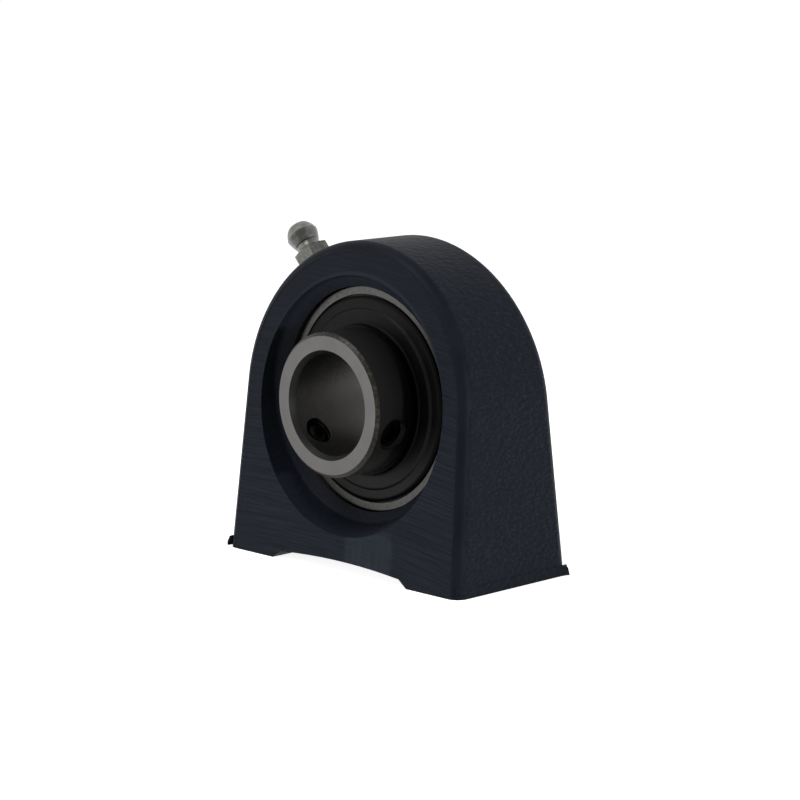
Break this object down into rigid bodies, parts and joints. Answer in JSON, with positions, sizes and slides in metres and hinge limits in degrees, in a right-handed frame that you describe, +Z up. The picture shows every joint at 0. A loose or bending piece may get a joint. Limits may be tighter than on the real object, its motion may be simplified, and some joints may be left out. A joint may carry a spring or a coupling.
{
  "type": "pillow block bearing",
  "caption": "Short-base pillow block: a painted cast housing, tapped from below, holding a set-screw ball bearing insert in a spherical seat, with a grease nipple.",
  "frame": {"origin": "on the ground base face, midway between the two tapped holes", "axes": "+Z up, square to the base; +Y along the shaft, away from the locking side; +X along the base"},
  "size_m": [0.065, 0.0338, 0.0658],
  "materials": {
    "housing_paint": "cast iron, painted satin blue-black",
    "ring_steel": "hardened bearing steel, ground faces",
    "ball_steel": "polished bearing steel",
    "cage_nylon": "moulded glass-filled nylon",
    "seal_steel": "pressed sheet steel",
    "seal_rubber": "matt black nitrile rubber",
    "slinger_steel": "pressed sheet steel, blackened",
    "screw_steel": "black-oxide alloy steel",
    "nipple_steel": "turned steel, dull zinc plated",
    "spring_steel": "drawn spring wire"
  },
  "bodies": {
    "housing": {"housing": "housing_paint", "nipple_body": "nipple_steel", "nipple_spring": "spring_steel"},
    "insert": {"outer_ring": "ring_steel", "front_seal_washer": "seal_steel", "back_seal_washer": "seal_steel", "front_seal_lip": "seal_rubber", "back_seal_lip": "seal_rubber"},
    "inner_ring": {"inner_ring": "ring_steel", "front_slinger": "slinger_steel", "back_slinger": "slinger_steel"},
    "cage": {"cage": "cage_nylon"},
    "ball_1": {"ball_1": "ball_steel"},
    "ball_2": {"ball_2": "ball_steel"},
    "ball_3": {"ball_3": "ball_steel"},
    "ball_4": {"ball_4": "ball_steel"},
    "ball_5": {"ball_5": "ball_steel"},
    "ball_6": {"ball_6": "ball_steel"},
    "ball_7": {"ball_7": "ball_steel"},
    "ball_8": {"ball_8": "ball_steel"},
    "set_screw_1": {"set_screw_1": "screw_steel"},
    "set_screw_2": {"set_screw_2": "screw_steel"},
    "nipple_ball": {"nipple_ball": "ball_steel"}
  },
  "joints": [
    {"name": "insert_swivel", "type": "hinge", "parent": "housing", "child": "insert", "pos_m": [0, 0, 0.0333], "axis": [0, 0, 1], "range_deg": [-5, 5]},
    {"name": "inner_spin", "type": "hinge", "parent": "insert", "child": "inner_ring", "pos_m": [0, 0, 0.0333], "axis": [0, 1, 0], "continuous": true},
    {"name": "cage_orbit", "type": "hinge", "parent": "insert", "child": "cage", "pos_m": [0, 0, 0.0333], "axis": [0, 1, 0], "continuous": true},
    {"name": "ball_1_roll", "type": "hinge", "parent": "cage", "child": "ball_1", "pos_m": [0.01547, 0, 0.03971], "axis": [0, 1, 0], "continuous": true},
    {"name": "ball_2_roll", "type": "hinge", "parent": "cage", "child": "ball_2", "pos_m": [0.00641, 0, 0.04877], "axis": [0, 1, 0], "continuous": true},
    {"name": "ball_3_roll", "type": "hinge", "parent": "cage", "child": "ball_3", "pos_m": [-0.00641, 0, 0.04877], "axis": [0, 1, 0], "continuous": true},
    {"name": "ball_4_roll", "type": "hinge", "parent": "cage", "child": "ball_4", "pos_m": [-0.01547, 0, 0.03971], "axis": [0, 1, 0], "continuous": true},
    {"name": "ball_5_roll", "type": "hinge", "parent": "cage", "child": "ball_5", "pos_m": [-0.01547, 0, 0.02689], "axis": [0, 1, 0], "continuous": true},
    {"name": "ball_6_roll", "type": "hinge", "parent": "cage", "child": "ball_6", "pos_m": [-0.00641, 0, 0.01783], "axis": [0, 1, 0], "continuous": true},
    {"name": "ball_7_roll", "type": "hinge", "parent": "cage", "child": "ball_7", "pos_m": [0.00641, 0, 0.01783], "axis": [0, 1, 0], "continuous": true},
    {"name": "ball_8_roll", "type": "hinge", "parent": "cage", "child": "ball_8", "pos_m": [0.01547, 0, 0.02689], "axis": [0, 1, 0], "continuous": true},
    {"name": "set_screw_1_travel", "type": "slide", "parent": "inner_ring", "child": "set_screw_1", "axis": [0.9455, 0, -0.3256], "range_m": [-0.0004, 0.0025]},
    {"name": "set_screw_2_travel", "type": "slide", "parent": "inner_ring", "child": "set_screw_2", "axis": [-0.7547, 0, -0.6561], "range_m": [-0.0004, 0.0025]},
    {"name": "check_ball_lift", "type": "slide", "parent": "housing", "child": "nipple_ball", "axis": [-0.6691, 0, 0.7431], "range_m": [-0.0006, 0], "stiffness_N_per_m": 300, "springref_m": 0.001, "deforming": ["nipple_spring"]}
  ],
  "couplings": [
    {"joint": "cage_orbit", "follows": "inner_spin", "ratio": 0.38152},
    {"joint": "ball_1_roll", "follows": "inner_spin", "ratio": -1.9916},
    {"joint": "ball_2_roll", "follows": "inner_spin", "ratio": -1.9916},
    {"joint": "ball_3_roll", "follows": "inner_spin", "ratio": -1.9916},
    {"joint": "ball_4_roll", "follows": "inner_spin", "ratio": -1.9916},
    {"joint": "ball_5_roll", "follows": "inner_spin", "ratio": -1.9916},
    {"joint": "ball_6_roll", "follows": "inner_spin", "ratio": -1.9916},
    {"joint": "ball_7_roll", "follows": "inner_spin", "ratio": -1.9916},
    {"joint": "ball_8_roll", "follows": "inner_spin", "ratio": -1.9916}
  ]
}
